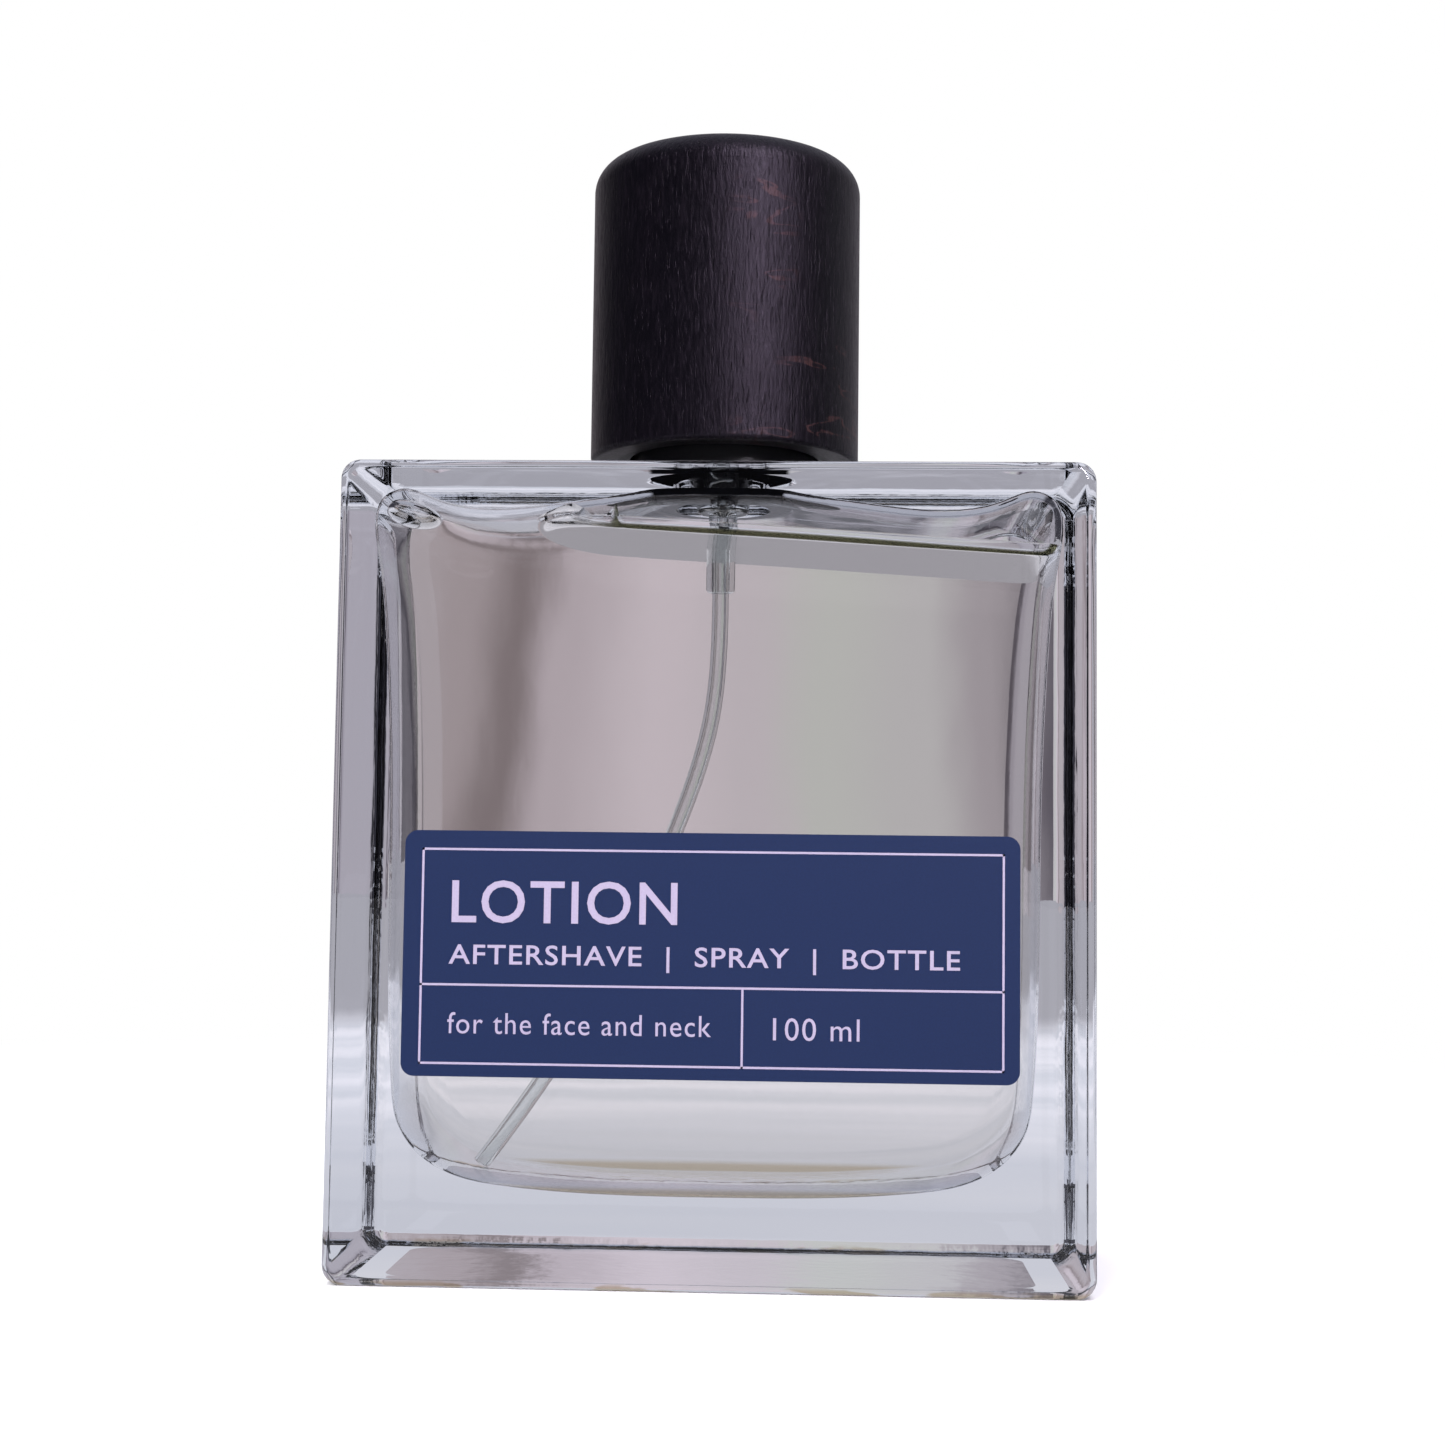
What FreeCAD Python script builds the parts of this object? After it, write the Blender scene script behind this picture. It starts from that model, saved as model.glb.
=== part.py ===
"""A 100 ml aftershave bottle: a thick-walled glass block with a crimped spray pump, a dip tube and a turned wooden cap.

Frame, in millimetres: +Z is up, the label faces -Y, and the origin is the centre of the base on the table.
Each function below makes one separate piece; build() writes one STEP file per piece.
"""

import FreeCAD
import Part

import math
import os

V = FreeCAD.Vector
Z_AXIS = V(0, 0, 1)

# ---- driving dimensions -------------------------------------------------------------------------------------------
# glass block
GLASS_W = 70.0  # along X
GLASS_D = 35.5  # along Y
GLASS_H = 75.8  # base to shoulder
CORNER_R = 1.8  # the four edges that run front to back
FRONT_EDGE_R = 1.1  # the edges round the front face
BACK_EDGE_R = 1.5
WALL_Y = 4.1  # front and back wall
CAVITY_FLOOR = 8.0
CAVITY_EDGE_R = 1.8
BASE_RECESS = (60.0, 26.0, 0.4)  # X, Y and depth of the hollow under the base

# crimp-neck finish of nominal size 15
NECK_TOP = GLASS_H + 6.5
NECK_R = 6.5
BEAD_R = 7.45
BEAD_H = 3.0
BORE_R = 4.7

# contents and labels
LIQUID_LEVEL = 69.3  # at the middle of the bottle
LIQUID_SLOPE = 3.5  # degrees, down towards +X
AIR_LEFT = -18.0  # where the air pocket under the roof ends
AIR_END_R = 1.2
LIQUID_GAP = 0.02
LABEL = (56.0, 22.3, 0.12)  # width, height, thickness
LABEL_BOTTOM = 19.0
LABEL_CORNER_R = 1.2

# pump
STROKE = 4.0  # how far the actuator goes down
LOST_MOTION = 0.7  # how much less the piston moves than the stem
BALL_LIFT = 0.6
RUNNING_GAP = 0.03  # radial clearance of sliding pieces
GASKET_T = 0.9
FLANGE_T = 1.1
TURRET_FLANGE_T = 0.8
FERRULE_T = 0.35
FLANGE_R = 6.9
BARREL_R = 2.6
CHAMBER_R = 2.05
CHAMBER_FLOOR = 75.0
CHAMBER_TOP = 86.9
BARREL_BOTTOM = 73.4
TAIL_R = 1.4
TAIL_BOTTOM = 65.0
STEM_SEAL_T = 0.5
TURRET_R = 3.9
TURRET_TOP = 88.6
STEM_R = 1.5
STEM_BORE_R = 0.55
STEM_TOP = 96.4
STEM_FLANGE_T = 0.6
SHOULDER_R = 1.9
CORE_R = 1.15
CORE_SPIGOT_R = 0.9
CORE_SPIGOT_H = 2.0
SPRING_PILOT_R = 1.0
PISTON_H = 3.0
PISTON_BOTTOM = 81.7
BALL_R = 0.75
SPRING_WIRE_R = 0.18
SPRING_R = 1.6
WIRE_SIDES = 8

# dip tube
TUBE_R = 0.8
TUBE_BORE_R = 0.5
TUBE_TOP = 71.5
TUBE_END = (-22.4, 9.6)  # X and Z of the cut end

# actuator, collar and cap
ACTUATOR_R = 5.9
ACTUATOR_BOTTOM = 89.7
ACTUATOR_TOP = 99.8
ACTUATOR_WALL = 1.0
NOZZLE_Z = 97.1
NOZZLE_R = 1.7
COLLAR_R = 9.0
COLLAR_BOTTOM = 76.0
COLLAR_TOP = 90.2
CAP_R = 13.4
CAP_BOTTOM = 78.6
CAP_TOP = 108.9
CAP_EDGE_R = 3.0
LINER_R = 10.9
LINER_TOP = 102.0
RIB_COUNT = 12

# ---- heights that follow from the ones above ----------------------------------------------------------------------
GASKET_TOP = NECK_TOP + GASKET_T
FLANGE_TOP = GASKET_TOP + FLANGE_T
TURRET_FLANGE_TOP = FLANGE_TOP + TURRET_FLANGE_T
FERRULE_TOP = TURRET_FLANGE_TOP + FERRULE_T
PISTON_TOP = PISTON_BOTTOM + PISTON_H
STEM_FLANGE_BOTTOM = PISTON_BOTTOM - STEM_FLANGE_T
STEM_SHOULDER_BOTTOM = CHAMBER_TOP - STEM_FLANGE_T
FRONT_Y = -GLASS_D / 2


# ---- helpers ------------------------------------------------------------------------------------------------------
def cylinder(radius, z0, z1):
    return Part.makeCylinder(radius, z1 - z0, V(0, 0, z0))


def ring(outer, inner, z0, z1):
    return cylinder(outer, z0, z1).cut(cylinder(inner, z0 - 1, z1 + 1))


def turned(profile):
    """A solid of revolution about Z from (radius, z) corners."""
    points = [V(r, 0, z) for r, z in profile]
    face = Part.Face(Part.makePolygon(points + points[:1]))
    return face.revolve(V(0, 0, 0), Z_AXIS, 360)


def edges_where(shape, test):
    """The edges whose middle point passes test(x, y, z)."""
    found = []
    for edge in shape.Edges:
        middle = edge.valueAt((edge.FirstParameter + edge.LastParameter) / 2)
        if test(middle.x, middle.y, middle.z):
            found.append(edge)
    return found


def near(a, b, gap=0.01):
    return abs(a - b) < gap


def circle_at(shape, radius, z):
    """The circular edges of one radius at one height, for a fillet or a chamfer."""
    found = []
    for edge in shape.Edges:
        round_edge = isinstance(edge.Curve, Part.Circle)
        if round_edge and near(edge.Curve.Radius, radius) and near(edge.Curve.Center.z, z):
            found.append(edge)
    return found


def rounded(shape, radius, *circles):
    """shape with a fillet on each circular edge named as (radius, height)."""
    edges = [e for r, z in circles for e in circle_at(shape, r, z)]
    return shape.makeFillet(radius, edges)


def rounded_sheet(width, height, thickness, corner_r):
    """A thin plate in the XZ plane, centred on X, standing on Z = 0, with its back face at Y = 0."""
    plate = Part.makeBox(width, thickness, height, V(-width / 2, -thickness, 0))
    corners = [e for e in plate.Edges if near(abs(e.tangentAt(e.FirstParameter).y), 1)]
    return plate.makeFillet(corner_r, corners)


# ---- glass, contents and labels -----------------------------------------------------------------------------------
def cavity_outline():
    """The hollow seen from the front: a soft floor, sides that flare near the top, and a roof that dips each side."""
    half = [(0, CAVITY_FLOOR), (18.7, 8.7), (24.3, 9.9), (27.1, 11.7), (28.9, 14.2), (29.6, 17.8), (30.1, 28.0)]
    half += [(30.3, 44.0), (30.9, 58.0), (31.8, 66.5), (32.3, 70.2), (31.7, 72.6), (29.6, 73.6)]
    half += [(26.6, 72.7), (21.3, 71.8), (14.9, 72.3), (8.0, 73.3), (0, 73.8)]
    right = Part.BSplineCurve()
    points = [V(x, 0, z) for x, z in half]
    right.interpolate(Points=points, InitialTangent=V(1, 0, 0), FinalTangent=V(-1, 0, 0))
    right = right.toShape()
    return Part.Wire([right, right.mirror(V(0, 0, 0), V(1, 0, 0))])


def cavity_solid():
    """The space inside the block, without the neck bore."""
    depth = GLASS_D - 2 * WALL_Y
    face = Part.Face(cavity_outline())
    face.translate(V(0, -depth / 2, 0))
    solid = face.extrude(V(0, depth, 0))
    rims = edges_where(solid, lambda x, y, z: near(abs(y), depth / 2))
    return solid.makeFillet(CAVITY_EDGE_R, rims)


def outer_block():
    block = Part.makeBox(GLASS_W, GLASS_D, GLASS_H, V(-GLASS_W / 2, FRONT_Y, 0))
    corners = [e for e in block.Edges if near(abs(e.tangentAt(e.FirstParameter).y), 1)]
    block = block.makeFillet(CORNER_R, corners)
    block = block.makeFillet(FRONT_EDGE_R, edges_where(block, lambda x, y, z: near(y, FRONT_Y)))
    return block.makeFillet(BACK_EDGE_R, edges_where(block, lambda x, y, z: near(y, -FRONT_Y)))


def glass_bottle():
    bead_bottom = NECK_TOP - BEAD_H
    neck = cylinder(NECK_R, GLASS_H - 1, NECK_TOP)
    bead = rounded(cylinder(BEAD_R, bead_bottom, NECK_TOP), 0.7, (BEAD_R, bead_bottom), (BEAD_R, NECK_TOP))
    glass = outer_block().fuse([neck, bead]).removeSplitter()
    glass = rounded(glass, 0.9, (NECK_R, GLASS_H))
    glass = glass.cut(cavity_solid())
    glass = glass.cut(cylinder(BORE_R, GLASS_H - 10, NECK_TOP + 1))
    width, depth, height = BASE_RECESS
    recess = Part.makeBox(width, depth, height + 1, V(-width / 2, -depth / 2, -1))
    uprights = [e for e in recess.Edges if near(abs(e.tangentAt(e.FirstParameter).z), 1)]
    return glass.cut(recess.makeFillet(4.0, uprights))


def tube_path():
    """Straight out of its socket, then a long bend towards one lower corner of the cavity."""
    x_end, z_end = TUBE_END
    points = [V(0, 0, TUBE_TOP), V(0, 0, 64.0), V(-0.7, 0, 53.0), V(-4.1, 0, 41.8), V(-11.3, 0, 26.4)]
    curve = Part.BSplineCurve()
    curve.interpolate(points + [V(x_end, 0, z_end)])
    return Part.Wire(curve.toShape())


def tube_solid(radius):
    start = Part.Wire(Part.makeCircle(radius, V(0, 0, TUBE_TOP), Z_AXIS))
    return tube_path().makePipeShell([start], True, False)


def dip_tube():
    return tube_solid(TUBE_R).cut(tube_solid(TUBE_BORE_R))


def air_pocket():
    """A box above the sloping surface, with the lower edge of its left end rounded like the end of a bubble."""
    box = Part.makeBox(GLASS_W, GLASS_D, 20, V(AIR_LEFT, FRONT_Y, 0))
    box = box.makeFillet(AIR_END_R, edges_where(box, lambda x, y, z: near(x, AIR_LEFT) and near(z, 0)))
    box.rotate(V(0, 0, 0), V(0, 1, 0), LIQUID_SLOPE)
    box.translate(V(0, 0, LIQUID_LEVEL))
    return box


def liquid():
    """The filling, up to the air pocket, with the space of the tube and its socket taken out.

    It is the cavity made smaller towards its middle, so that it clears the front and back walls by LIQUID_GAP.
    """
    middle = V(0, 0, (CAVITY_FLOOR + LIQUID_LEVEL) / 2)
    body = cavity_solid()
    body.scale(1 - LIQUID_GAP / (GLASS_D / 2 - WALL_Y), middle)
    body = body.cut(air_pocket())
    body = body.cut(tube_solid(TUBE_R + LIQUID_GAP))
    return body.cut(cylinder(TAIL_R + LIQUID_GAP, TAIL_BOTTOM - LIQUID_GAP, LIQUID_LEVEL + 1))


def front_label():
    width, height, thickness = LABEL
    sheet = rounded_sheet(width, height, thickness, LABEL_CORNER_R)
    sheet.translate(V(0, FRONT_Y, LABEL_BOTTOM))
    return sheet


# ---- fixed pieces of the pump -------------------------------------------------------------------------------------
def neck_gasket():
    return ring(BEAD_R - 0.15, BORE_R + 0.2, NECK_TOP, GASKET_TOP)


def pump_housing():
    """Barrel with a flange above, a ball seat in its floor and a tail that grips the dip tube."""
    passage_r = 0.4
    pocket_r = BALL_R + 0.15
    seat_z = BARREL_BOTTOM - 0.3
    body = cylinder(BARREL_R, BARREL_BOTTOM, CHAMBER_TOP)
    body = body.fuse([cylinder(FLANGE_R, GASKET_TOP, FLANGE_TOP), cylinder(TAIL_R, TAIL_BOTTOM, BARREL_BOTTOM + 1)])
    body = body.removeSplitter()
    body = rounded(body, 0.4, (BARREL_R, BARREL_BOTTOM), (TAIL_R, TAIL_BOTTOM))
    seat_h = pocket_r - passage_r
    seat = Part.makeCone(passage_r, pocket_r, seat_h, V(0, 0, seat_z))
    inside = cylinder(CHAMBER_R, CHAMBER_FLOOR, CHAMBER_TOP + 1)
    inside = inside.fuse([cylinder(pocket_r, seat_z + seat_h, CHAMBER_FLOOR + 1), seat])
    inside = inside.fuse([cylinder(passage_r, TUBE_TOP - 1, seat_z + 0.1)])
    inside = inside.fuse([cylinder(TUBE_R, TAIL_BOTTOM - 1, TUBE_TOP)])
    vent = Part.makeCylinder(0.35, BARREL_R * 2, V(0, 0, FLANGE_TOP + 1.2), V(1, 0, 0))
    return body.cut(inside).cut(vent)


def stem_seal():
    """The washer on top of the barrel that the stem's shoulder closes against at rest."""
    return ring(BARREL_R, STEM_R + RUNNING_GAP, CHAMBER_TOP, CHAMBER_TOP + STEM_SEAL_T)


def turret():
    """The domed ring that holds the barrel and the seal down and guides the stem."""
    seal_top = CHAMBER_TOP + STEM_SEAL_T
    body = cylinder(TURRET_R, FLANGE_TOP, TURRET_TOP).fuse(cylinder(FLANGE_R, FLANGE_TOP, TURRET_FLANGE_TOP))
    body = rounded(body.removeSplitter(), 0.5, (TURRET_R, TURRET_TOP))
    body = body.cut(cylinder(BARREL_R + 0.02, FLANGE_TOP - 1, seal_top))
    return body.cut(cylinder(STEM_R + RUNNING_GAP, seal_top - 1, TURRET_TOP + 1))


def crimp_ferrule():
    """Thin metal cup over the turret flange, its skirt rolled in under the glass bead."""
    inner = BEAD_R + 0.25
    outer = inner + FERRULE_T
    hole = TURRET_R + 0.05
    roll_top = NECK_TOP - BEAD_H
    roll_bottom = roll_top - 0.55
    lip = NECK_R + 0.3
    corner = 0.5
    profile = [(hole, TURRET_FLANGE_TOP), (inner - corner, TURRET_FLANGE_TOP), (inner, TURRET_FLANGE_TOP - corner)]
    profile += [(inner, roll_top + 0.35), (lip, roll_top - 0.05), (lip, roll_bottom + 0.1)]
    profile += [(outer - 0.3, roll_bottom), (outer, roll_bottom + 0.4), (outer, FERRULE_TOP - corner)]
    profile += [(outer - corner, FERRULE_TOP), (hole, FERRULE_TOP)]
    return turned(profile)


def ferrule_collar():
    """The black sleeve pressed over the ferrule, open above for the actuator."""
    inner = BEAD_R + 0.25 + FERRULE_T + 0.02
    mouth = ACTUATOR_R + 0.25
    rim = 0.8
    shell = cylinder(COLLAR_R, COLLAR_BOTTOM, COLLAR_TOP)
    shell = shell.cut(cylinder(inner, COLLAR_BOTTOM - 1, COLLAR_TOP - rim))
    shell = shell.cut(cylinder(mouth, COLLAR_TOP - rim - 1, COLLAR_TOP + 1))
    shell = rounded(shell, 0.4, (COLLAR_R, COLLAR_TOP))
    return rounded(shell, 0.2, (mouth, COLLAR_TOP), (COLLAR_R, COLLAR_BOTTOM))


# ---- moving pieces of the pump ------------------------------------------------------------------------------------
def coil(z0, z1, radius, wire_r, turns):
    """A compression spring that just fills the height from z0 to z1. Its wire has WIRE_SIDES flat sides."""
    height = z1 - z0 - 2 * wire_r
    helix = Part.makeHelix(height / turns, height, radius)
    helix.translate(V(0, 0, z0 + wire_r))
    corners = []
    for i in range(WIRE_SIDES + 1):
        angle = 2 * math.pi * i / WIRE_SIDES
        corners.append(V(radius + wire_r * math.cos(angle), 0, z0 + wire_r + wire_r * math.sin(angle)))
    section = Part.makePolygon(corners)
    return Part.Wire(helix).makePipeShell([section], True, True)


def return_spring():
    return coil(CHAMBER_FLOOR, STEM_FLANGE_BOTTOM, SPRING_R, SPRING_WIRE_R, 4.5)


def precompression_spring():
    return coil(PISTON_TOP, STEM_SHOULDER_BOTTOM, SPRING_R + 0.1, SPRING_WIRE_R * 0.75, 2)


def inlet_ball():
    """Sits in the cone of the housing's floor, touching it all round."""
    slope = math.radians(45)
    passage_r = 0.4
    seat_z = BARREL_BOTTOM - 0.3
    apex_z = seat_z - passage_r
    centre = apex_z + BALL_R / math.sin(slope) + 0.005
    return Part.makeSphere(BALL_R, V(0, 0, centre))


def pump_stem():
    """The tube that comes out of the pump, with the shoulder that closes against the seal at rest."""
    body = cylinder(STEM_R, STEM_SHOULDER_BOTTOM, STEM_TOP)
    body = body.fuse(cylinder(SHOULDER_R, STEM_SHOULDER_BOTTOM, CHAMBER_TOP)).removeSplitter()
    body = body.cut(cylinder(STEM_BORE_R, STEM_SHOULDER_BOTTOM - 1, STEM_TOP + 1))
    return body.cut(cylinder(CORE_SPIGOT_R, STEM_SHOULDER_BOTTOM - 1, STEM_SHOULDER_BOTTOM + CORE_SPIGOT_H))


def stem_core():
    """Pressed into the stem from below. Closed at the bottom, with side ports that the piston covers at rest."""
    port_r = 0.25
    port_z = PISTON_BOTTOM + LOST_MOTION / 2
    body = cylinder(CORE_R, STEM_FLANGE_BOTTOM, STEM_SHOULDER_BOTTOM)
    body = body.fuse(cylinder(CORE_SPIGOT_R, STEM_FLANGE_BOTTOM, STEM_SHOULDER_BOTTOM + CORE_SPIGOT_H))
    body = body.fuse(cylinder(SHOULDER_R, STEM_FLANGE_BOTTOM, PISTON_BOTTOM))
    body = body.fuse(cylinder(SPRING_PILOT_R, STEM_FLANGE_BOTTOM - 1.0, STEM_FLANGE_BOTTOM + 0.1)).removeSplitter()
    body = body.cut(cylinder(STEM_BORE_R, port_z - 2 * port_r, STEM_SHOULDER_BOTTOM + CORE_SPIGOT_H + 1))
    port = Part.makeCylinder(port_r, 4 * CORE_R, V(-2 * CORE_R, 0, port_z), V(1, 0, 0))
    return body.cut(port)


def piston():
    """A sleeve on the stem with a flared lip at each end that wipes the chamber."""
    outer = CHAMBER_R - 0.02
    waist = outer - 0.3
    inner = CORE_R + RUNNING_GAP
    lip = 0.7
    profile = [(inner, PISTON_BOTTOM), (outer - 0.25, PISTON_BOTTOM), (outer, PISTON_BOTTOM + 0.25)]
    profile += [(outer, PISTON_BOTTOM + lip), (waist, PISTON_BOTTOM + lip + 0.3)]
    profile += [(waist, PISTON_TOP - lip - 0.3), (outer, PISTON_TOP - lip), (outer, PISTON_TOP - 0.25)]
    profile += [(outer - 0.25, PISTON_TOP), (inner, PISTON_TOP)]
    return turned(profile)


def actuator():
    """Push button: a hollow skirt, a boss that grips the stem, a dished top and the pocket for the nozzle insert."""
    boss_r = 2.6
    boss_bottom = TURRET_TOP + STROKE + 0.2
    roof = 95.0
    riser_r = 0.6
    channel_r = 0.4
    body = cylinder(ACTUATOR_R, ACTUATOR_BOTTOM, ACTUATOR_TOP)
    body = rounded(body, 0.8, (ACTUATOR_R, ACTUATOR_TOP))
    body = rounded(body, 0.2, (ACTUATOR_R, ACTUATOR_BOTTOM))
    dish_r = 16.0
    body = body.cut(Part.makeSphere(dish_r, V(0, 0, ACTUATOR_TOP + dish_r - 0.6), V(1, 0, 0)))
    hollow = cylinder(ACTUATOR_R - ACTUATOR_WALL, ACTUATOR_BOTTOM - 1, roof).cut(cylinder(boss_r, boss_bottom, roof))
    body = body.cut(hollow)
    body = body.cut(cylinder(STEM_R + RUNNING_GAP, boss_bottom - 1, STEM_TOP + 0.05))
    body = body.cut(cylinder(riser_r, STEM_TOP - 1, NOZZLE_Z + riser_r))
    body = body.cut(Part.makeCylinder(channel_r, ACTUATOR_R - 2, V(0, 0, NOZZLE_Z), V(0, -1, 0)))
    pocket = Part.makeCylinder(NOZZLE_R, 3.0, V(0, -ACTUATOR_R + 2.6, NOZZLE_Z), V(0, -1, 0))
    return body.cut(pocket)


def nozzle_insert():
    """The small cup pressed into the actuator, with the spray hole in its floor and a shallow cone round it."""
    depth = 1.9
    front = -ACTUATOR_R + 0.45
    cup = Part.makeCylinder(NOZZLE_R, depth, V(0, front + depth, NOZZLE_Z), V(0, -1, 0))
    cup = cup.cut(Part.makeCylinder(NOZZLE_R - 0.55, depth - 0.7, V(0, front + depth, NOZZLE_Z), V(0, -1, 0)))
    cup = cup.cut(Part.makeCylinder(0.15, depth + 1, V(0, front + depth, NOZZLE_Z), V(0, -1, 0)))
    dimple = Part.makeCone(0.25, 0.9, 0.35, V(0, front + 0.35, NOZZLE_Z), V(0, -1, 0))
    return cup.cut(dimple)


# ---- cap ----------------------------------------------------------------------------------------------------------
def wood_cap():
    body = cylinder(CAP_R, CAP_BOTTOM, CAP_TOP)
    body = rounded(body, CAP_EDGE_R, (CAP_R, CAP_TOP))
    body = rounded(body, 0.5, (CAP_R, CAP_BOTTOM))
    return body.cut(cylinder(LINER_R, CAP_BOTTOM - 1, LINER_TOP))


def cap_liner():
    """Plastic cup glued in the wood. Its ribs grip the collar and its step rests on the collar's rim."""
    wall_r = 9.5
    upper_r = 8.0
    bottom = CAP_BOTTOM + 0.3
    body = cylinder(LINER_R, bottom, LINER_TOP)
    body = body.cut(cylinder(wall_r, bottom - 1, COLLAR_TOP))
    body = body.cut(cylinder(upper_r, COLLAR_TOP - 1, LINER_TOP - 1.0))
    grip_r = COLLAR_R + RUNNING_GAP
    rib = Part.makeBox(wall_r + 0.2 - grip_r, 0.6, COLLAR_TOP - bottom - 1.0, V(grip_r, -0.3, bottom + 1.0))
    rib = rib.cut(cylinder(grip_r, bottom, COLLAR_TOP))
    for i in range(RIB_COUNT):
        turned_rib = rib.copy()
        turned_rib.rotate(V(0, 0, 0), Z_AXIS, i * 360 / RIB_COUNT)
        body = body.fuse(turned_rib)
    return body.removeSplitter()


PIECES = [glass_bottle, liquid, front_label, neck_gasket, pump_housing, stem_seal, turret, crimp_ferrule]
PIECES += [ferrule_collar, dip_tube, inlet_ball, return_spring, precompression_spring, piston, stem_core, pump_stem]
PIECES += [actuator, nozzle_insert, wood_cap, cap_liner]


def build():
    os.makedirs("parts", exist_ok=True)
    for make in PIECES:
        shape = make()
        solids = shape.Solids
        state = "ok" if shape.isValid() and solids else "BAD"
        print(f"{make.__name__:22s} {state} solids {len(solids)} volume {shape.Volume:.1f} mm3")
        piece = solids[0] if len(solids) == 1 else Part.makeCompound(solids)
        piece.exportStep(f"parts/{make.__name__}.step")


build()
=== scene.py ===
"""Looks of the 100 ml aftershave bottle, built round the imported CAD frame. Lengths are in metres."""

import math

import bpy
import bmesh
from mathutils import Matrix, Vector
from mathutils.bvhtree import BVHTree


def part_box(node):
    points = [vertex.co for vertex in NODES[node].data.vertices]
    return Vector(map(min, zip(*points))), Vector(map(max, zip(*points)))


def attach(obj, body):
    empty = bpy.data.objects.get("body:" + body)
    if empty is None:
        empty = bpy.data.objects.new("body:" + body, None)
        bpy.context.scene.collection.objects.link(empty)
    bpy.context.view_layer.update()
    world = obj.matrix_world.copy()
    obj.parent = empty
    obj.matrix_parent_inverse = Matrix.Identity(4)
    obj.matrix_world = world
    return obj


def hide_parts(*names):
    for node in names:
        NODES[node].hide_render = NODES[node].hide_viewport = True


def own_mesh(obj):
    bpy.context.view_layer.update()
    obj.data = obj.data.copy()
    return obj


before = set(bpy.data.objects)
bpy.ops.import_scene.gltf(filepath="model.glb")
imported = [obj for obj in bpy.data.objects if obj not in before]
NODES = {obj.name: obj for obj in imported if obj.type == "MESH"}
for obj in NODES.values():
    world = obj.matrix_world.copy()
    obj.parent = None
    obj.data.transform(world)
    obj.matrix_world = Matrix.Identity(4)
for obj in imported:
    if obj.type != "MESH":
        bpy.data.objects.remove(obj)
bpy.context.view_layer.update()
MM = 0.001

# ---- where things are ----------------------------------------------------------------------------------
LIQUID_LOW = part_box("liquid")[0]
LABEL_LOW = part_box("front_label")[0]
BACK_Y = 17.75 * MM
CAVITY_FRONT_Y = -13.65 * MM
SHOULDER_Z = 75.8 * MM
NECK_R = 6.5 * MM

# the free surface of the liquid: a slope, a rise at the walls and an elliptical end at the left
LEVEL = 69.3 * MM  # at x = 0
SLOPE = math.tan(math.radians(3.5))
MENISCUS = 1.1 * MM
AIR_LEFT = -18.0 * MM
END_LONG = 7.0 * MM
END_HALF = 13.75 * MM

GLASS_IOR = 1.52
LIQUID_IOR = 1.365
PLASTIC_IOR = 1.50


# ---- shader helpers ------------------------------------------------------------------------------------
class Graph:
    """Short ways to add linked shader nodes."""

    def __init__(self, tree):
        self.tree = tree
        tree.nodes.clear()

    def add(self, kind, inputs=None, **props):
        node = self.tree.nodes.new("ShaderNode" + kind)
        for name, value in props.items():
            setattr(node, name, value)
        for key, value in (inputs or {}).items():
            socket = node.inputs[key]
            if isinstance(value, bpy.types.NodeSocket):
                self.tree.links.new(value, socket)
            else:
                socket.default_value = value
        return node

    def math(self, operation, a, b=0.0, c=0.0):
        return self.add("Math", {0: a, 1: b, 2: c}, operation=operation).outputs[0]

    def both(self, first, *others):
        """The product of masks."""
        for other in others:
            first = self.math("MULTIPLY", first, other)
        return first

    def either(self, first, *others):
        """The greatest of masks."""
        for other in others:
            first = self.math("MAXIMUM", first, other)
        return first

    def size(self, value):
        return self.math("ABSOLUTE", value)

    def radius(self, x, y):
        return self.math("SQRT", self.math("ADD", self.math("MULTIPLY", x, x), self.math("MULTIPLY", y, y)))

    def ramp01(self, value, low, high):
        """0 at low, 1 at high, smooth between."""
        inputs = {"Value": value, "From Min": low, "From Max": high}
        return self.add("MapRange", inputs, interpolation_type="SMOOTHSTEP").outputs[0]

    def scaled(self, value, low, high):
        """low where value is 0, high where it is 1."""
        return self.add("MapRange", {"Value": value, "To Min": low, "To Max": high}).outputs[0]

    def mix(self, factor, a, b):
        node = self.add("Mix", data_type="RGBA")
        for socket, value in ((node.inputs[0], factor), (node.inputs[6], a), (node.inputs[7], b)):
            if isinstance(value, bpy.types.NodeSocket):
                self.tree.links.new(value, socket)
            elif socket is node.inputs[0]:
                socket.default_value = value
            else:
                socket.default_value = (*value, 1)
        return node.outputs[2]

    def mix_shaders(self, factor, a, b):
        return self.add("MixShader", {0: factor, 1: a.outputs[0], 2: b.outputs[0]})

    def noise(self, vector, scale, detail=3.0, roughness=0.5, distortion=0.0):
        inputs = {"Vector": vector, "Scale": scale, "Detail": detail}
        inputs.update({"Roughness": roughness, "Distortion": distortion})
        return self.add("TexNoise", inputs).outputs["Fac"]

    def place(self):
        return self.add("TexCoord").outputs["Object"]

    def xyz(self, vector=None):
        node = self.add("SeparateXYZ", {0: vector or self.place()})
        return node.outputs[0], node.outputs[1], node.outputs[2]

    def stretch(self, vector, scale):
        return self.add("Mapping", {"Vector": vector, "Scale": scale}).outputs[0]

    def bump(self, height, distance, strength=1.0, normal=None):
        inputs = {"Height": height, "Distance": distance, "Strength": strength}
        if normal:
            inputs["Normal"] = normal
        return self.add("Bump", inputs).outputs[0]

    def out(self, surface, volume=None):
        node = self.add("OutputMaterial", {"Surface": surface.outputs[0]})
        if volume:
            self.tree.links.new(volume.outputs[0], node.inputs["Volume"])


def new_material(name):
    material = bpy.data.materials.new(name)
    material.use_nodes = True
    return material, Graph(material.node_tree)


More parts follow.
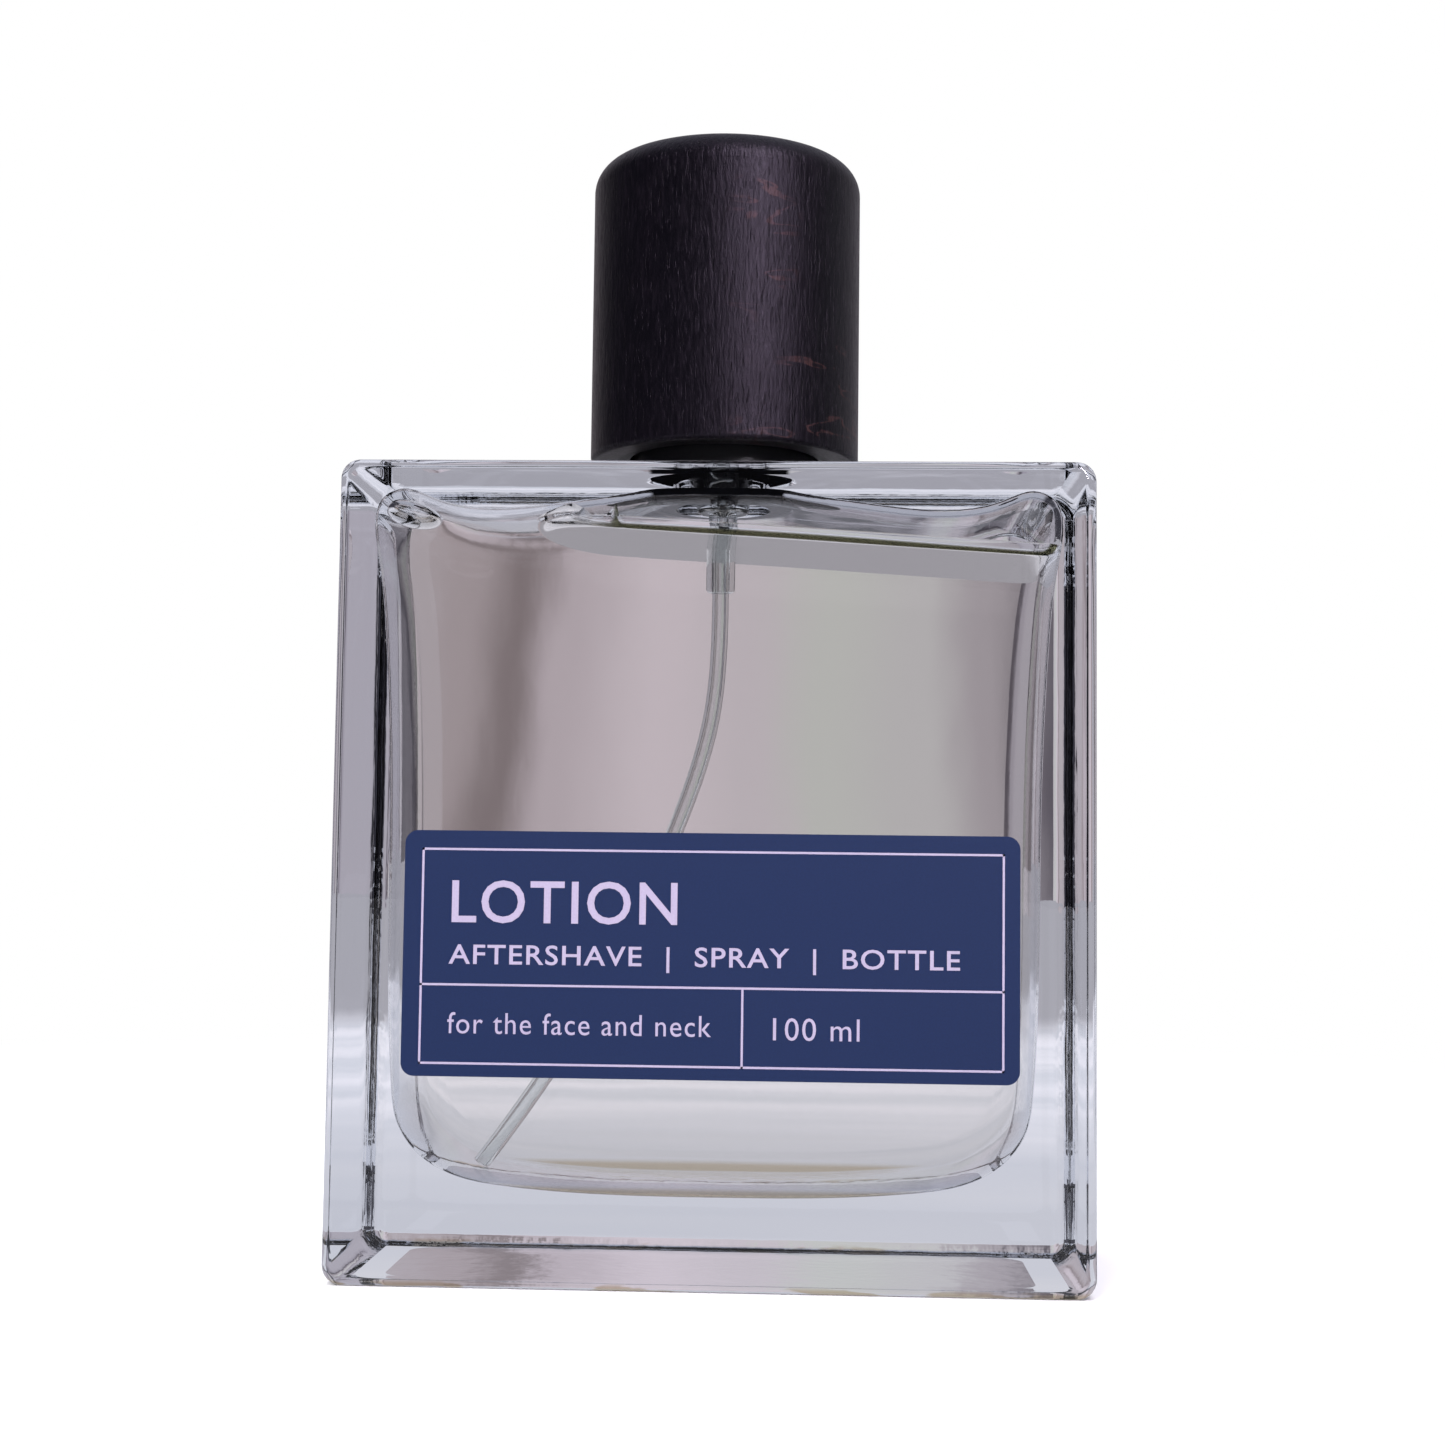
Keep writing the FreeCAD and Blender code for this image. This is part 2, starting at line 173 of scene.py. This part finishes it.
def dress(obj, material):
    obj.data.materials.clear()
    obj.data.materials.append(material)


def link_data(name, data):
    obj = bpy.data.objects.new(name, data)
    bpy.context.scene.collection.objects.link(obj)
    return obj


def finished(name, bm):
    """The object made from a bmesh, which is freed."""
    mesh = bpy.data.meshes.new(name)
    bm.to_mesh(mesh)
    bm.free()
    return link_data(name, mesh)


# ---- glass, liquid and clear plastic -------------------------------------------------------------------
def under_liquid(g):
    """1 where the liquid reaches: below the surface's rise at the walls, or left of the air."""
    x, y, z = g.xyz()
    height = g.math("SUBTRACT", z, g.math("MULTIPLY_ADD", x, -SLOPE, LEVEL))
    below = g.math("LESS_THAN", height, MENISCUS)
    across = g.math("MULTIPLY", y, 1 / END_HALF)
    across = g.math("SUBTRACT", 1.0, g.math("MULTIPLY", across, across))
    curve = g.math("SUBTRACT", 1.0, g.math("SQRT", g.math("MAXIMUM", across, 0.0)))
    left = g.math("LESS_THAN", x, g.math("MULTIPLY_ADD", curve, END_LONG, AIR_LEFT))
    return g.either(below, left)


def in_cavity(g):
    """1 on the cavity's wall, 0 on the outside of the block and in the neck."""
    x, y, z = g.xyz()
    deep = g.math("LESS_THAN", g.size(y), 14.6 * MM)
    wide = g.math("LESS_THAN", g.size(x), 33.6 * MM)
    above = g.math("GREATER_THAN", z, 4.0 * MM)
    under = g.math("LESS_THAN", z, 74.2 * MM)
    return g.both(deep, wide, above, under)


def glass_normal(g, place):
    """Slow waves everywhere, and mould ripples on the back edges, the base and the cavity's floor."""
    x, y, z = g.xyz(place)
    edge_start = g.ramp01(y, BACK_Y - 2.35 * MM, BACK_Y - 1.35 * MM)
    edge_end = g.ramp01(y, BACK_Y - 0.01 * MM, BACK_Y - 0.2 * MM)
    base = g.scaled(g.ramp01(z, 1.2 * MM, 0.2 * MM), 0.0, 0.4)
    cavity_floor = g.both(in_cavity(g), g.ramp01(z, 10.0 * MM, 9.0 * MM))
    marked = g.either(g.both(edge_start, edge_end), base, cavity_floor)
    waves = g.noise(g.stretch(place, (1, 1, 0.5)), 90, 2)
    ripples = g.noise(g.stretch(place, (1, 1, 0.45)), 420, 3)
    normal = g.bump(waves, 0.05 * MM)
    return g.bump(g.both(ripples, g.scaled(marked, 0.03, 1.0)), 0.10 * MM, 1.0, normal)


def glass_tint(g, place):
    """Nearly clear, with tan light along the cavity's lower edges and in streaks along the base's edges."""
    x, y, z = g.xyz(place)
    cavity_low = g.both(in_cavity(g), g.ramp01(z, 9.1 * MM, 8.5 * MM))
    cavity_edges = g.both(cavity_low, g.ramp01(g.size(y), 11.8 * MM, 12.6 * MM))
    streaks = g.ramp01(g.noise(g.stretch(place, (0.3, 1, 1)), 500, 3), 0.50, 0.56)
    base_edges = g.both(g.ramp01(z, 0.9 * MM, 0.3 * MM), streaks, g.ramp01(g.size(y), 15.5 * MM, 16.2 * MM))
    return g.mix(g.either(cavity_edges, base_edges), (0.97, 0.975, 0.985), (0.74, 0.66, 0.52))


def collar_shade(g, place):
    """1 on the neck's outer wall, and on the shoulder in front of it when light meets that from inside."""
    x, y, z = g.xyz(place)
    on_neck = g.math("GREATER_THAN", z, SHOULDER_Z + 0.15 * MM)
    outside_bore = g.math("GREATER_THAN", g.radius(x, y), NECK_R - 1.0 * MM)
    ahead = g.ramp01(y, 0.7 * MM - NECK_R, 0.3 * MM - NECK_R)
    narrow = g.ramp01(g.size(x), NECK_R + 0.4 * MM, NECK_R - 0.2 * MM)
    shoulder = g.ramp01(z, SHOULDER_Z - 0.3 * MM, SHOULDER_Z - 0.2 * MM)
    from_inside = g.add("NewGeometry").outputs["Backfacing"]
    return g.either(g.both(on_neck, outside_bore), g.both(ahead, shoulder, narrow, from_inside))


def glass_material():
    material, g = new_material("clear_glass")
    place = g.place()
    wet = g.both(in_cavity(g), under_liquid(g))
    inputs = {"Color": glass_tint(g, place), "Roughness": 0.0, "Normal": glass_normal(g, place)}
    inputs["IOR"] = g.scaled(wet, GLASS_IOR, GLASS_IOR / LIQUID_IOR)
    clear = g.add("BsdfGlass", inputs)
    shaded = g.add("BsdfDiffuse", {"Color": (0.003, 0.0035, 0.006, 1)})
    volume = g.add("VolumeAbsorption", {"Color": (0.72, 0.76, 0.86, 1), "Density": 4.0})
    g.out(g.mix_shaders(collar_shade(g, place), clear, shaded), volume)
    return material


def liquid_material():
    """A glass-like free surface, with a painted dark olive shade strip where it meets the front wall, and
    unseen sides.
    """
    material, g = new_material("aftershave")
    free = g.add("Attribute", attribute_name="free_surface").outputs["Fac"]
    x, y, z = g.xyz()
    # painted shade: a dark olive strip along the meniscus at the front wall, mixed into the surface's glass
    # colour
    line_inner = g.ramp01(y, CAVITY_FRONT_Y + 0.9 * MM, CAVITY_FRONT_Y + 0.7 * MM)
    line_outer = g.ramp01(y, CAVITY_FRONT_Y + 0.13 * MM, CAVITY_FRONT_Y + 0.27 * MM)
    meniscus_shade = g.both(line_inner, line_outer, g.ramp01(x, -13 * MM, -9 * MM))
    colour = g.mix(meniscus_shade, (1, 1, 1), (0.17, 0.17, 0.10))
    surface = g.add("BsdfGlass", {"Color": colour, "Roughness": 0.0, "IOR": LIQUID_IOR})
    wall = g.add("BsdfTransparent", {"Color": (1, 1, 1, 1)})
    volume = g.add("VolumeAbsorption", {"Color": (0.80, 0.74, 0.66, 1), "Density": 20.0})
    g.out(g.mix_shaders(free, wall, surface), volume)
    return material


def clear_plastic_material():
    material, g = new_material("clear_plastic")
    ior = g.scaled(under_liquid(g), PLASTIC_IOR, PLASTIC_IOR / LIQUID_IOR)
    cloud = g.noise(g.place(), 700, 3)
    inputs = {"Color": (0.96, 0.97, 0.97, 1), "Roughness": 0.015, "IOR": ior}
    inputs["Normal"] = g.bump(cloud, 0.01 * MM)
    clear = g.add("BsdfGlass", inputs)
    milk = g.add("BsdfTranslucent", {"Color": (0.75, 0.77, 0.78, 1)})
    g.out(g.mix_shaders(g.scaled(cloud, 0.01, 0.05), clear, milk))
    return material


# ---- opaque materials ----------------------------------------------------------------------------------
def wood_material():
    """Nearly black stained wood: upright fibres and pores, and faint brown ring marks on the right."""
    material, g = new_material("dark_wood")
    place = g.place()
    x, y, z = g.xyz(place)
    fibres = g.noise(g.stretch(place, (1, 1, 0.20)), 2600, 5, 0.65, 0.3)
    pores = g.ramp01(g.noise(g.stretch(place, (1, 1, 0.09)), 5200, 2), 0.60, 0.72)
    figure = g.noise(g.stretch(place, (1, 1, 0.16)), 260, 4, 0.55, 0.8)
    rings = g.noise(g.stretch(place, (0.6, 0.6, 2.2)), 250, 2, 0.4, 0.6)
    lines = g.both(g.ramp01(rings, 0.56, 0.58), g.ramp01(rings, 0.62, 0.60))
    patches = g.ramp01(g.noise(place, 70, 2), 0.46, 0.58)
    marks = g.both(lines, patches, g.ramp01(x, 0, 4 * MM), g.ramp01(fibres, 0.35, 0.55))
    stain = g.mix(figure, (0.0003, 0.0005, 0.0011), (0.0018, 0.0013, 0.0025))
    grain = g.mix(g.ramp01(fibres, 0.45, 0.75), stain, (0.0042, 0.0030, 0.0052))
    marked = g.mix(marks, grain, (0.042, 0.019, 0.018))
    normal = g.bump(fibres, 0.09 * MM)
    normal = g.bump(g.math("SUBTRACT", 1.0, pores), 0.05 * MM, 0.8, normal)
    inputs = {"Base Color": g.mix(pores, marked, (0.001, 0.0008, 0.001)), "Normal": normal}
    inputs["Roughness"] = g.scaled(fibres, 0.22, 0.50)
    inputs["Specular IOR Level"] = 0.34
    inputs["Specular Tint"] = (0.93, 0.80, 1.0, 1)
    g.out(g.add("BsdfPrincipled", inputs))
    return material


def paper_material(name, colour, grain=0.12):
    material, g = new_material(name)
    place = g.place()
    fibre = g.noise(place, 5200, 4, 0.7)
    cloud = g.noise(place, 160, 3)
    darker = tuple(c * (1 - grain) for c in colour)
    lighter = tuple(min(1, c * (1 + grain)) for c in colour)
    tone = g.mix(g.ramp01(fibre, 0.3, 0.7), darker, lighter)
    tone = g.mix(g.scaled(cloud, 0.0, 0.35), tone, colour)
    inputs = {"Base Color": tone, "Roughness": g.scaled(fibre, 0.5, 0.7), "Specular IOR Level": 0.3}
    inputs["Normal"] = g.bump(fibre, 0.01 * MM, 0.8)
    g.out(g.add("BsdfPrincipled", inputs))
    return material


def moulded_material(name, colour, low=0.28, high=0.42, metallic=0.0):
    """Plastic, rubber or metal with a fine grain. low and high are its roughness."""
    material, g = new_material(name)
    fine = g.noise(g.place(), 4200, 4, 0.6)
    cloud = g.noise(g.place(), 240, 3)
    tone = g.mix(cloud, tuple(c * 0.88 for c in colour), tuple(min(1, c * 1.1) for c in colour))
    inputs = {"Base Color": tone, "Roughness": g.scaled(fine, low, high), "Metallic": metallic}
    inputs["Normal"] = g.bump(fine, 0.01 * MM, 0.7)
    g.out(g.add("BsdfPrincipled", inputs))
    return material


# ---- the filling ---------------------------------------------------------------------------------------
GAP = 0.02 * MM  # between the liquid and the glass
MIDDLE_X = 6 * MM  # every ring of the liquid's mesh goes round this upright line
DIRECTIONS = 360
ROOF_STEPS = 14
WALL_LEVELS = 40


def level(x):
    return LEVEL - SLOPE * x


def point_at(direction, reach, rise=0.0):
    """A point over the plan, this high above the sloping level."""
    x = MIDDLE_X + direction.x * reach
    return Vector((x, direction.y * reach, level(x) + rise))


def cast(tree, origin, direction):
    hit = tree.ray_cast(origin, direction)[0]
    return None if hit is None else (hit - origin).length


def wall_reach(tree, direction, z):
    found = cast(tree, Vector((MIDDLE_X, 0, z)), direction)
    return (found or 10 * MM) - GAP


def end_reach(direction):
    """Distance to the air pocket's elliptical left end, or a large number on the other side."""
    if direction.x > -0.05:
        return 1.0
    start = MIDDLE_X - (AIR_LEFT + END_LONG)
    a = (direction.x / END_LONG) ** 2 + (direction.y / END_HALF) ** 2
    b = 2 * start * direction.x / END_LONG ** 2
    c = (start / END_LONG) ** 2 - 1
    inside = b * b - 4 * a * c
    if inside <= 0:
        return 1.0
    return (-b + math.sqrt(inside)) / (2 * a)


def surface_rings(plan):
    """From the middle out to the walls, then up the meniscus."""
    rings = []
    for share in (0.15, 0.4, 0.65, 0.82, 0.9):
        rings.append([point_at(direction, reach * share) for direction, reach, wall in plan])
    for k in range(11):
        turn = math.pi / 2 * k / 10
        inset = MENISCUS * (1 - math.sin(turn))
        rise = MENISCUS * (1 - math.cos(turn))
        rings.append([point_at(direction, reach - inset, rise) for direction, reach, wall in plan])
    return rings


def roof_rings(tree, plan):
    """At the left end the liquid goes up to the cavity's roof and along under it to the walls."""
    rings = []
    for k in range(ROOF_STEPS + 1):
        ring = []
        for direction, reach, wall in plan:
            point = point_at(direction, reach, MENISCUS)
            if reach < wall:
                out = reach + (wall - reach - 0.3 * MM) * k / ROOF_STEPS
                point = point_at(direction, out, -3 * MM)
                up = cast(tree, point, Vector((0, 0, 1)))
                point.z += min(up or 5 * MM, 6 * MM) - GAP
            ring.append(point)
        rings.append(ring)
    return rings


def wall_rings(tree, plan):
    """Down the walls to the floor, closer together towards it."""
    low = LIQUID_LOW.z + 0.15 * MM
    top = LEVEL - 2.5 * MM
    rings = []
    for k in range(WALL_LEVELS + 1):
        z = top - (top - low) * math.sin(math.pi / 2 * k / WALL_LEVELS)
        ring = []
        for direction, reach, wall in plan:
            out = wall_reach(tree, direction, z)
            ring.append(Vector((MIDDLE_X + direction.x * out, direction.y * out, z)))
        rings.append(ring)
    return rings


def add_bubble(bm, layer):
    """The small bubble caught in the upper left corner: a void, so its faces look inwards."""
    centre = Vector((-29.6, -6.0, 72.0)) * MM
    half = Vector((3.0, 4.0, 1.45)) * MM
    tilt = Matrix.Rotation(math.radians(14), 4, "Y")
    made = bmesh.ops.create_uvsphere(bm, u_segments=48, v_segments=24, radius=1.0)
    scale = Matrix.Diagonal((*half, 1))
    bmesh.ops.transform(bm, matrix=Matrix.Translation(centre) @ tilt @ scale, verts=made["verts"])
    faces = {face for vert in made["verts"] for face in vert.link_faces}
    bmesh.ops.reverse_faces(bm, faces=list(faces))
    for face in faces:
        face[layer] = 1.0
        face.smooth = True


def build_liquid():
    """A closed body. Its face attribute free_surface is 1 where it meets air and 0 where it meets glass."""
    glass = NODES["glass_bottle"].data
    tree = BVHTree.FromPolygons([v.co for v in glass.vertices], [p.vertices for p in glass.polygons])
    plan = []
    for i in range(DIRECTIONS):
        angle = 2 * math.pi * i / DIRECTIONS
        direction = Vector((math.cos(angle), math.sin(angle), 0))
        wall = wall_reach(tree, direction, LEVEL - 1.5 * MM)
        plan.append((direction, min(wall, end_reach(direction)), wall))
    surface = surface_rings(plan)
    points = surface + roof_rings(tree, plan) + wall_rings(tree, plan)

    bm = bmesh.new()
    layer = bm.faces.layers.float.new("free_surface")
    rings = [[bm.verts.new(point) for point in ring] for ring in points]
    middle = bm.verts.new(Vector((MIDDLE_X, 0, level(MIDDLE_X))))
    for i in range(DIRECTIONS):
        j = (i + 1) % DIRECTIONS
        bm.faces.new((middle, rings[0][i], rings[0][j]))[layer] = 1.0
        for k in range(len(rings) - 1):
            face = bm.faces.new((rings[k][i], rings[k + 1][i], rings[k + 1][j], rings[k][j]))
            face[layer] = float(k < len(surface))
    bm.faces.new(list(reversed(rings[-1])))
    for face in bm.faces:
        face.smooth = True
    bmesh.ops.remove_doubles(bm, verts=bm.verts, dist=0.001 * MM)
    bmesh.ops.recalc_face_normals(bm, faces=bm.faces)
    add_bubble(bm, layer)
    return finished("liquid_body", bm)


liquid = build_liquid()
dress(liquid, liquid_material())
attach(liquid, "bottle")
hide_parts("liquid")

# ---- materials of the CAD pieces -----------------------------------------------------------------------
clear_plastic = clear_plastic_material()
white = moulded_material("white_plastic", (0.78, 0.78, 0.76))
black = moulded_material("black_plastic", (0.010, 0.010, 0.012), 0.22, 0.4)
steel = moulded_material("spring_steel", (0.55, 0.55, 0.56), 0.12, 0.25, metallic=1.0)
rubber = moulded_material("gasket_rubber", (0.03, 0.03, 0.03), 0.5, 0.7)
foil = moulded_material("ferrule_metal", (0.035, 0.035, 0.04), 0.25, 0.4, metallic=1.0)
liner = moulded_material("liner_plastic", (0.015, 0.015, 0.017), 0.4, 0.6)

dress(NODES["glass_bottle"], glass_material())
dress(NODES["front_label"], paper_material("label_blue", (0.0065, 0.0165, 0.0620)))
dress(NODES["wood_cap"], wood_material())
dress(NODES["inlet_ball"], steel)
dress(NODES["crimp_ferrule"], foil)
dress(NODES["cap_liner"], liner)
for name in ("pump_housing", "dip_tube"):
    dress(NODES[name], clear_plastic)
for name in ("piston", "stem_core", "pump_stem"):
    dress(NODES[name], white)
for name in ("neck_gasket", "stem_seal"):
    dress(NODES[name], rubber)
for name in ("turret", "ferrule_collar", "actuator", "nozzle_insert"):
    dress(NODES[name], black)


# ---- springs, as round wire ----------------------------------------------------------------------------
def build_spring(name, node, body, joint, turns, wire_r, fixed_end, keep):
    """A coil that fills the CAD spring's height. joint, fixed_end and keep are not used."""
    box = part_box(node)
    coil_r = (box[1].x - box[0].x) / 2 - wire_r
    bottom, top = box[0].z + wire_r, box[1].z - wire_r
    flat_turns = 0.5
    sides, steps = 10, int(turns * 36)
    bm = bmesh.new()
    rings = []
    for k in range(steps + 1):
        turn = turns * k / steps
        share = min(1, max(0, (turn - flat_turns / 2) / (turns - flat_turns)))
        angle = 2 * math.pi * turn
        ring = []
        for i in range(sides):
            side = 2 * math.pi * i / sides
            r = coil_r + wire_r * math.cos(side)
            z = bottom + (top - bottom) * share + wire_r * math.sin(side)
            ring.append(bm.verts.new(Vector((r * math.cos(angle), r * math.sin(angle), z))))
        rings.append(ring)
    for a, b in zip(rings, rings[1:]):
        for i in range(sides):
            j = (i + 1) % sides
            bm.faces.new((a[i], a[j], b[j], b[i])).smooth = True
    bm.faces.new(list(reversed(rings[0])))
    bm.faces.new(rings[-1])
    bmesh.ops.recalc_face_normals(bm, faces=bm.faces)
    coil = finished(name, bm)
    dress(coil, steel)
    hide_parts(node)
    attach(coil, body)
    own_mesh(coil)


LONG_COIL = ("return_coil", "return_spring", "bottle", "pump_press")
SHORT_COIL = ("precompression_coil", "precompression_spring", "stem", "piston_slide")
LONG_KEEP = 2.1 / 6.1  # pressed height over height at rest
SHORT_KEEP = 0.9 / 1.6
build_spring(*LONG_COIL, 4.5, 0.18 * MM, 0, LONG_KEEP)
build_spring(*SHORT_COIL, 2, 0.135 * MM, 1, SHORT_KEEP)

# ---- print on the label: places are in millimetres from the label's lower left corner ------------------
INK = paper_material("label_ink", (0.40, 0.35, 0.48), 0.06)
INK_T = 0.02 * MM
LINE = 0.2
LEFT, RIGHT, BOTTOM, TOP = 1.6, 54.6, 1.1, 20.7
RULE, DIVIDER = 8.2, 30.9


def finish_print(obj):
    dress(obj, INK)
    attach(obj, "bottle")


def ink_bars(name, bars):
    """Thin printed bars as one piece. Each is (left, bottom, right, top)."""
    bm = bmesh.new()
    for left, bottom, right, top in bars:
        low = LABEL_LOW + Vector((left * MM, -INK_T, bottom * MM))
        high = LABEL_LOW + Vector((right * MM, 0, top * MM))
        made = bmesh.ops.create_cube(bm, size=1.0)
        matrix = Matrix.Translation((low + high) / 2) @ Matrix.Diagonal((*(high - low), 1))
        bmesh.ops.transform(bm, matrix=matrix, verts=made["verts"])
    finish_print(finished(name, bm))


def ink_text(name, words, left, bottom, cap_height, width, bold=0.0):
    """Words in Blender's own plain face, fitted to a cap height and a width and raised by the ink."""
    curve = bpy.data.curves.new(name, "FONT")
    curve.body = words
    curve.size = 1.0
    curve.space_character = 1.1
    curve.offset = bold
    curve.resolution_u = 4
    text = link_data(name, curve)
    bpy.context.view_layer.update()
    depsgraph = bpy.context.evaluated_depsgraph_get()
    mesh = bpy.data.meshes.new_from_object(text.evaluated_get(depsgraph))
    bpy.data.objects.remove(text)
    start = min(v.co.x for v in mesh.vertices)
    wide = width * MM / (max(v.co.x for v in mesh.vertices) - start)
    tall = cap_height * MM / max(v.co.y for v in mesh.vertices)
    for v in mesh.vertices:
        x = LABEL_LOW.x + left * MM + (v.co.x - start) * wide
        z = LABEL_LOW.z + bottom * MM + v.co.y * tall
        v.co = Vector((x, LABEL_LOW.y, z))
    bm = bmesh.new()
    bm.from_mesh(mesh)
    made = bmesh.ops.extrude_face_region(bm, geom=bm.faces[:])
    moved = [e for e in made["geom"] if isinstance(e, bmesh.types.BMVert)]
    bmesh.ops.translate(bm, vec=(0, -INK_T, 0), verts=moved)
    bmesh.ops.recalc_face_normals(bm, faces=bm.faces)
    for face in bm.faces:
        face.smooth = False
    finish_print(finished(name, bm))


border = [(LEFT, BOTTOM, RIGHT, BOTTOM + LINE), (LEFT, TOP - LINE, RIGHT, TOP)]
border += [(LEFT, BOTTOM, LEFT + LINE, TOP), (RIGHT - LINE, BOTTOM, RIGHT, TOP)]
border += [(LEFT, RULE, RIGHT, RULE + LINE), (DIVIDER, BOTTOM, DIVIDER + LINE, RULE)]
ink_bars("label_border", border)
ink_text("label_headline", "LOTION", 4.4, 14.0, 3.8, 20.6, 0.01)
ink_text("label_subline", "AFTERSHAVE  |  SPRAY  |  BOTTLE", 4.2, 10.2, 1.75, 46.4, 0.01)
ink_text("label_note", "for the face and neck", 4.2, 3.9, 1.9, 24.0)
ink_text("label_volume", "100 ml", 33.8, 3.7, 2.0, 7.8)


# ---- floor, light and camera ---------------------------------------------------------------------------
def build_floor():
    """Plain and pale to the camera, and to light that has been through the glass a glowing lilac-grey floor
    with painted shade: darker close to the bottle and far away.
    """
    bm = bmesh.new()
    bmesh.ops.create_grid(bm, x_segments=1, y_segments=1, size=4.0)
    floor = finished("floor", bm)
    material, g = new_material("pale_floor")
    x, y, z = g.xyz()
    away = g.radius(x, y)
    near = g.add("BsdfDiffuse", {"Color": (0.92, 0.92, 0.93, 1)})
    far = g.add("Emission", {"Color": (1, 1, 1, 1), "Strength": 1.0})
    plain = g.mix_shaders(g.ramp01(away, 0.06, 0.30), near, far)
    # painted light and shade: to all rays but the camera's the floor glows, darker close to the bottle and far
    # away
    cloud = g.noise(g.stretch(g.place(), (1, 5, 1)), 5.0, 3)
    close = g.mix(cloud, (0.54, 0.56, 0.64), (0.72, 0.71, 0.75))
    middle = g.mix(g.ramp01(cloud, 0.35, 0.65), (0.72, 0.73, 0.80), (0.92, 0.90, 0.97))
    tint = g.mix(g.ramp01(away, 0.05, 0.20), close, middle)
    tint = g.mix(g.ramp01(away, 0.30, 0.42), tint, (0.43, 0.42, 0.46))
    through = g.add("Emission", {"Color": tint, "Strength": 1.0})
    g.out(g.mix_shaders(g.add("LightPath").outputs["Is Camera Ray"], through, plain))
    dress(floor, material)


# colours of the studio's back wall, from the left to the right
WALL_BANDS = [
    (0.00, (0.50, 0.45, 0.48)), (0.08, (0.44, 0.38, 0.40)), (0.145, (0.27, 0.225, 0.235)),
    (0.20, (0.56, 0.49, 0.53)), (0.32, (0.70, 0.62, 0.67)), (0.43, (0.64, 0.58, 0.62)),
    (0.52, (0.61, 0.61, 0.59)), (0.64, (0.59, 0.57, 0.58)), (0.71, (0.44, 0.40, 0.43)),
    (0.78, (0.12, 0.105, 0.125)), (0.86, (0.38, 0.35, 0.40)), (1.00, (0.46, 0.43, 0.48)),
]


def build_world():
    """White to the camera, and a lilac-grey room with soft upright bands to reflected and refracted light."""
    world = bpy.data.worlds.new("studio")
    bpy.context.scene.world = world
    world.use_nodes = True
    g = Graph(world.node_tree)
    direction = g.add("TexCoord").outputs["Generated"]
    x, y, z = g.xyz(direction)
    wander = g.noise(g.stretch(direction, (3.0, 0.3, 3.0)), 2.0, 2)
    across = g.math("MULTIPLY_ADD", wander, 0.05, g.math("SUBTRACT", x, 0.025))
    bands = g.add("ValToRGB", {0: g.math("MULTIPLY_ADD", across, 2.5, 0.5)})
    ramp = bands.color_ramp
    ramp.interpolation = "EASE"
    for element, (place, tint) in zip(ramp.elements, (WALL_BANDS[0], WALL_BANDS[-1])):
        element.position = place
        element.color = (*tint, 1)
    for place, tint in WALL_BANDS[1:-1]:
        ramp.elements.new(place).color = (*tint, 1)
    colour = g.mix(g.ramp01(z, 0.25, 0.9), bands.outputs[0], (0.42, 0.43, 0.50))
    colour = g.mix(g.ramp01(g.size(x), 0.50, 0.75), colour, (0.05, 0.048, 0.06))
    colour = g.mix(g.ramp01(y, -0.1, -0.6), colour, (0.05, 0.048, 0.06))
    around = g.add("Background", {"Color": colour, "Strength": 1.0})
    white_wall = g.add("Background", {"Color": (1, 1, 1, 1), "Strength": 1.0})
    mixed = g.mix_shaders(g.add("LightPath").outputs["Is Camera Ray"], around, white_wall)
    g.add("OutputWorld", {"Surface": mixed.outputs[0]})


def area_light(name, place, target, size, power, colour=(1, 1, 1), mirrored=True):
    """A soft rectangular lamp. Only a mirrored one shows in reflections, and none shows through the glass."""
    data = bpy.data.lights.new(name, "AREA")
    data.shape = "RECTANGLE"
    data.size, data.size_y = size
    data.energy = power
    data.color = colour
    light = link_data(name, data)
    light.location = place
    light.visible_transmission = False
    light.visible_glossy = mirrored
    light.rotation_euler = (Vector(target) - Vector(place)).to_track_quat("-Z", "Y").to_euler()


def build_camera():
    """The photographer's view: a little to the right, at mid height, looking slightly up."""
    data = bpy.data.cameras.new("camera")
    data.lens = 53.87
    data.sensor_width = 36.0
    data.clip_start = 0.01
    camera = link_data("camera", data)
    yaw, pitch, roll = -0.0428, 0.0726, 0.0122
    forward = Vector((math.sin(yaw) * math.cos(pitch), math.cos(yaw) * math.cos(pitch), math.sin(pitch)))
    right = Vector((math.cos(yaw), -math.sin(yaw), 0))
    up = right.cross(forward)
    turned_right = right * math.cos(roll) + up * math.sin(roll)
    turned_up = up * math.cos(roll) - right * math.sin(roll)
    axes = Matrix((turned_right, turned_up, -forward)).transposed().to_4x4()
    camera.matrix_world = Matrix.Translation(Vector((9.324, -214.59, 37.09)) * MM) @ axes
    bpy.context.scene.camera = camera


build_floor()
build_world()
area_light("key", (-0.30, -0.50, 0.45), (0, 0, 0.05), (0.5, 0.5), 6.5, mirrored=False)
area_light("sheen", (0.25, -0.42, 0.40), (0, 0, 0.095), (0.08, 0.50), 3.0, (0.95, 0.88, 1.0))
area_light("rim", (0.42, 0.20, 0.18), (0, 0, 0.09), (0.08, 0.5), 0.10, (0.92, 0.95, 1.0))
area_light("top", (0, 0.1, 0.7), (0, 0, 0.05), (0.6, 0.6), 5.0, mirrored=False)
build_camera()
bpy.context.scene.view_settings.view_transform = "Standard"
